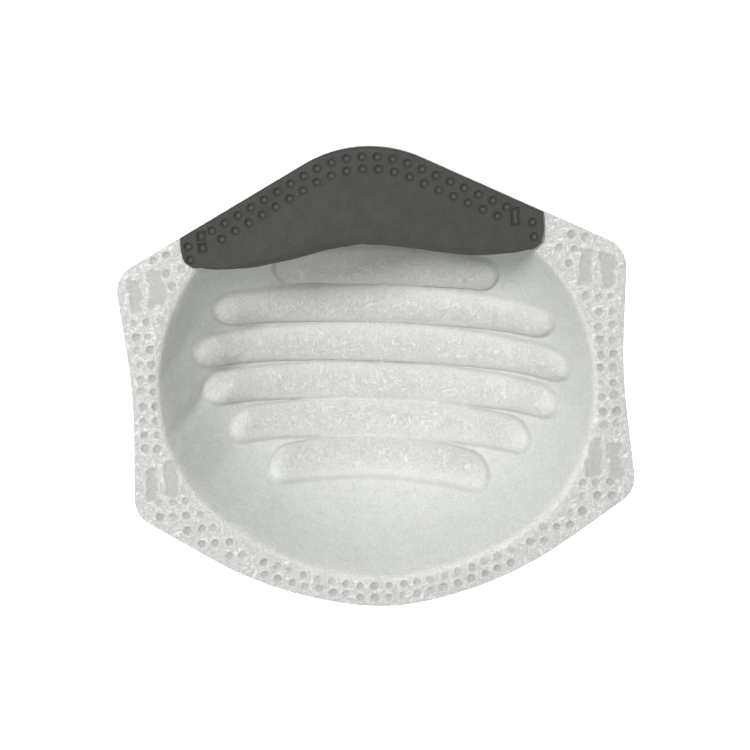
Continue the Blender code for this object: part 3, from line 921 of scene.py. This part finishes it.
def fleece_material():
    """Thick carded fleece: fine-grained on the walls, curly on the ribs, greyer where it is welded; painted
    highlights on the rib crests and ends, along the bend and round the pits, and painted shade in the rib
    valleys and at the pit rims.
    """
    n = Nodes("fleece", 0.95, sheen=0.1)
    flange, rib = n.attribute("flange"), n.attribute("rib")
    pit, bar = n.attribute("pit"), n.attribute("bar")
    grain = n.noise(1250, 4.0, 0.7, 0.6)
    cloud = n.noise(260, 4.0, 0.6)
    curls = n.ramp(n.noise(760, 4.0, 0.65, 2.6), 0.44, 0.64, 0.0, 1.0)
    strands = n.fibres(1300, 4.5, 3, 0.60, 0.70)
    white = n.maths("MAXIMUM", curls, n.maths("MULTIPLY", strands, 0.8))
    # painted highlight: whiter fibres on the rib crests and rib ends; on the flange the whiter fibres are the
    # fleece's own
    rib_crest_highlight = n.maths("MULTIPLY", n.maths("POWER", rib, 2.0), 0.75)
    loft_and_highlight = n.maths("MAXIMUM", rib_crest_highlight, n.maths("MULTIPLY", flange, 0.85))
    loft_and_highlight = n.maths("MAXIMUM", loft_and_highlight, n.maths("MULTIPLY", n.attribute("rib_cap_highlight"), 0.75))
    wool_and_highlight = n.maths("MULTIPLY", white, loft_and_highlight)
    # painted highlight: the rib ends are lighter
    pale = n.maths("MULTIPLY", n.attribute("rib_cap_highlight"), n.ramp(grain, 0.3, 0.62, 0.25, 0.75))
    wall = n.mix(n.ramp(grain, 0.28, 0.72, 0.0, 1.0), (0.60, 0.612, 0.578), (0.765, 0.776, 0.742))
    clouded = n.mix(n.ramp(cloud, 0.3, 0.7, 0.0, 0.35), wall, (0.77, 0.78, 0.745))
    clouded = n.mix(pale, clouded, (0.89, 0.895, 0.86))
    sunk = n.mix(n.maths("MULTIPLY", flange, 0.8), clouded, (0.70, 0.708, 0.672))
    woolly_and_highlit = n.mix(wool_and_highlight, sunk, (0.90, 0.905, 0.87))
    # painted highlight: a lighter ring on the raised fibres round each pit and beside the bars
    edged = n.mix(n.maths("MULTIPLY", n.attribute("halo"), 0.45), woolly_and_highlit, (0.87, 0.875, 0.84))
    # painted highlight: a whiter line along the raised lip at the bend
    lip = n.maths("MULTIPLY", n.attribute("fringe"), n.ramp(grain, 0.35, 0.6, 0.25, 0.9))
    edged = n.mix(lip, edged, (0.93, 0.935, 0.91))
    # painted shade: a dark line along each valley between the ribs
    crease_shaded = n.mix(n.maths("MULTIPLY", n.attribute("crease_shade"), 0.42), edged, (0.40, 0.41, 0.385))
    floor = n.mix(n.ramp(grain, 0.3, 0.7, 0.0, 1.0), (0.37, 0.382, 0.366), (0.45, 0.462, 0.444))
    flat = n.mix(n.ramp(grain, 0.3, 0.7, 0.0, 1.0), (0.43, 0.44, 0.42), (0.52, 0.53, 0.505))
    welded = n.mix(n.maths("MULTIPLY", bar, 0.85), n.mix(n.maths("MULTIPLY", pit, 0.9), crease_shaded, floor), flat)
    # painted shade: a dark ring at the edge of each weld pit
    colour = n.mix(n.maths("MULTIPLY", n.attribute("rim"), 0.22), welded, (0.34, 0.35, 0.338))
    pressed = n.maths("MAXIMUM", pit, bar)
    height = n.maths("MULTIPLY", n.maths("ADD", wool_and_highlight, n.maths("MULTIPLY", grain, 0.5)),
                     n.maths("SUBTRACT", 1.0, n.maths("MULTIPLY", pressed, 0.8)))
    return n.done(colour, n.bump(height, 0.00035, 0.7))


def filter_material():
    """Fine melt-blown web."""
    n = Nodes("filter_web", 0.9, sheen=0.15)
    fibres = n.fibres(5200, 10.0, 3)
    colour = n.mix(fibres, (0.80, 0.81, 0.80), (0.90, 0.905, 0.90))
    return n.done(colour, n.bump(fibres, 0.00006, 0.5))


def cover_material():
    """Smooth spun-bonded web with rows of tiny bond points, pressed flat at the welds."""
    n = Nodes("cover_web", 0.8, sheen=0.2)
    press = n.maths("MAXIMUM", n.attribute("pit"), n.attribute("bar"))
    fibres = n.fibres(3000, 12.0, 4)
    points = n.ramp(n.voronoi(820, randomness=0.12), 0.16, 0.30, 1.0, 0.0)
    cloud = n.noise(160, 3.0, 0.55)
    base = n.mix(n.ramp(cloud, 0.3, 0.7, 0.0, 1.0), (0.74, 0.75, 0.725), (0.80, 0.805, 0.78))
    loose = n.mix(fibres, base, (0.88, 0.885, 0.86))
    bonded = n.mix(n.maths("MULTIPLY", points, 0.5), loose, (0.66, 0.675, 0.655))
    colour = n.mix(n.maths("MULTIPLY", press, 0.8), bonded, (0.62, 0.635, 0.615))
    height = n.maths("SUBTRACT", n.maths("MULTIPLY", fibres, 0.5), points)
    return n.done(colour, n.bump(height, 0.00009, 0.6))


def foam_material():
    """Dark warm-grey foam with fine open cells, darker in its welded marks, which is partly painted shade in
    the pits, and lighter on their nubs as a painted highlight.
    """
    n = Nodes("nose_foam", 0.9, sheen=0.12)
    press, nub, band = n.attribute("press"), n.attribute("nub"), n.attribute("band")
    cells = n.voronoi(2600, "DISTANCE_TO_EDGE")
    fine = n.voronoi(5200)
    mottle = n.noise(260, 4.0, 0.6)
    base = n.mix(n.ramp(mottle, 0.3, 0.7, 0.0, 1.0), (0.044, 0.042, 0.0355), (0.058, 0.0555, 0.0475))
    speckled = n.mix(n.ramp(cells, 0.0, 0.22, 0.5, 0.0), base, (0.090, 0.088, 0.079))
    # darker where the foam is welded, and painted shade in the pits as well
    dark = n.mix(n.maths("MULTIPLY", press, 0.62), speckled, (0.024, 0.0235, 0.021))
    # painted highlight on the raised nub in each mark
    light = n.mix(n.maths("MULTIPLY", nub, 0.75), dark, (0.105, 0.103, 0.094))
    colour = n.mix(n.maths("MULTIPLY", band, 0.7), light, (0.024, 0.0235, 0.022))
    height = n.maths("ADD", n.maths("MULTIPLY", cells, 0.8), n.maths("MULTIPLY", fine, 0.4))
    return n.done(colour, n.bump(height, 0.00022, 0.55))


def aluminium_material():
    """Rolled soft aluminium with fine lines and a few handling marks."""
    n = Nodes("nose_clip_aluminium", 0.34, metallic=1.0)
    lines = n.noise(1500, 2.0, 0.5, 0.0, n.stretched((0.0, 0.0, 0.0), 18.0))
    marks = n.ramp(n.noise(700, 5.0, 0.7), 0.52, 0.62, 0.0, 1.0)
    colour = n.mix(marks, (0.90, 0.905, 0.91), (0.78, 0.785, 0.79))
    worn = n.maths("ADD", n.maths("MULTIPLY", lines, 0.4), marks)
    n.put(n.shader.inputs["Roughness"], n.ramp(worn, 0.1, 1.2, 0.42, 0.62))
    return n.done(colour, n.bump(lines, 0.00003, 0.3))


def elastic_material():
    """Flat knitted elastic: cords along the band, crossed by fine wales, flatter where it is welded."""
    found = bpy.data.materials.get("knitted_elastic")
    if found:
        return found
    n = Nodes("knitted_elastic", 0.75, sheen=0.3)
    across, along, press = n.attribute("across"), n.attribute("along"), n.attribute("press")
    cords = n.maths("ABSOLUTE", n.maths("SINE", n.maths("MULTIPLY", across, math.pi / CORD_PITCH)))
    wave = n.maths("SINE", n.maths("MULTIPLY", across, 2 * math.pi / CORD_PITCH))
    zigzag = n.maths("MULTIPLY", wave, 0.25)
    shifted = n.maths("ADD", along, zigzag)
    wales = n.maths("ABSOLUTE", n.maths("SINE", n.maths("MULTIPLY", shifted, math.pi / WALE_PITCH)))
    ridged = n.maths("ADD", n.maths("MULTIPLY", wales, 0.45), 0.55)
    knit = n.maths("MULTIPLY", n.maths("POWER", cords, 0.6), ridged)
    fuzz = n.fibres(4200, 6.0, 2)
    colour = n.mix(knit, (0.60, 0.595, 0.56), (0.86, 0.855, 0.82))
    fluffed = n.mix(n.maths("MULTIPLY", fuzz, 0.35), colour, (0.92, 0.915, 0.89))
    welded = n.mix(n.maths("MULTIPLY", press, 0.8), fluffed, (0.66, 0.66, 0.63))
    height = n.maths("MULTIPLY", n.maths("ADD", knit, n.maths("MULTIPLY", fuzz, 0.3)),
                     n.maths("SUBTRACT", 1.0, n.maths("MULTIPLY", press, 0.8)))
    return n.done(welded, n.bump(height, 0.00022, 0.8))


# ===== Stage, lights and camera ===================================================================
CAMERA_DISTANCE = 0.47
CAMERA_AZIMUTH = math.radians(3.0)
CAMERA_ELEVATION = math.radians(9.0)
CAMERA_ROLL = math.radians(-3.5)
VIEW_WIDTH = 0.2016
SENSOR_WIDTH = 36
STAGE_RADIUS = 1.5
STAGE_BEND = 0.35
STAGE_HEIGHT = 1.8
STAGE_FLAT = 0.3
STAGE_DROP = 0.026  # leaves room for the lower strap where it hangs below the chin
AIM = Vector((-0.0002, 0.0, 0.0017))


def build_stage():
    """A plain pale floor that rolls up into a plain wall all round."""
    floor_z = CAD_BOX[0][2] - STAGE_DROP
    bend = [(STAGE_RADIUS - STAGE_BEND * (1 - math.sin(a)), STAGE_BEND * (1 - math.cos(a)))
            for a in np.linspace(0, math.pi / 2, 13)]
    profile = [(STAGE_FLAT, 0.0)] + bend + [(STAGE_RADIUS, STAGE_HEIGHT)]
    turns = np.linspace(0, 2 * math.pi, 72, endpoint=False)
    points = [(r * math.cos(t), r * math.sin(t), floor_z + z) for r, z in profile for t in turns]
    faces = [tuple(range(len(turns)))]
    for k in range(len(profile) - 1):
        quads = ring_faces(k * len(turns), (k + 1) * len(turns), len(turns), flip=True)
        faces += [tuple(int(v) for v in quad) for quad in quads]
    mesh = bpy.data.meshes.new("stage")
    mesh.from_pydata(points, [], faces)
    mesh.shade_smooth()
    floor = bpy.data.objects.new("stage", mesh)
    bpy.context.scene.collection.objects.link(floor)
    n = Nodes("stage_paper", 0.95)
    n.shader.inputs["Emission Color"].default_value = (1, 1, 1, 1)
    n.shader.inputs["Emission Strength"].default_value = 0.75
    grain = n.noise(40, 2.0)
    mesh.materials.append(n.done(n.mix(grain, (0.93, 0.93, 0.93), (0.95, 0.95, 0.95))))
    floor.visible_diffuse = False
    floor.visible_glossy = False


def area_light(name, place, target, size, power):
    data = bpy.data.lights.new(name, "AREA")
    data.shape = "DISK"
    data.size = size
    data.energy = power
    lamp = bpy.data.objects.new(name, data)
    bpy.context.scene.collection.objects.link(lamp)
    lamp.location = place
    lamp.rotation_euler = (Vector(target) - Vector(place)).to_track_quat("-Z", "Y").to_euler()


def build_lights():
    area_light("key", (-0.34, -0.88, 0.34), (0, 0, 0), 0.24, 7.6)
    area_light("front_fill", (0.45, -0.9, 0.05), (0, 0, 0), 0.6, 2.2)
    area_light("back_key", (0.45, 0.80, 0.55), (0, 0.02, 0), 0.30, 8.0)
    area_light("back_fill", (-0.60, 0.70, 0.25), (0, 0.02, 0), 0.6, 1.6)
    world = bpy.context.scene.world or bpy.data.worlds.new("world")
    bpy.context.scene.world = world
    world.use_nodes = True
    background = world.node_tree.nodes["Background"]
    background.inputs["Color"].default_value = (0.93, 0.95, 0.95, 1)
    background.inputs["Strength"].default_value = 0.30


def build_camera():
    level = math.cos(CAMERA_ELEVATION)
    away = Vector((math.sin(CAMERA_AZIMUTH) * level, -math.cos(CAMERA_AZIMUTH) * level,
                   math.sin(CAMERA_ELEVATION)))
    place = AIM + CAMERA_DISTANCE * away
    data = bpy.data.cameras.new("camera")
    data.sensor_width = SENSOR_WIDTH
    data.lens = SENSOR_WIDTH * CAMERA_DISTANCE / VIEW_WIDTH
    camera = bpy.data.objects.new("camera", data)
    bpy.context.scene.collection.objects.link(camera)
    turn = (-away).to_track_quat("-Z", "Y").to_matrix() @ Matrix.Rotation(CAMERA_ROLL, 3, "Z")
    camera.matrix_world = Matrix.Translation(place) @ turn.to_4x4()
    bpy.context.scene.camera = camera


def main():
    build_camera()
    build_lights()
    build_stage()
    build_webs()
    build_foam()
    build_clip()
    build_strap_ends()
    build_straps()
    bpy.context.scene.view_settings.view_transform = "Standard"


main()
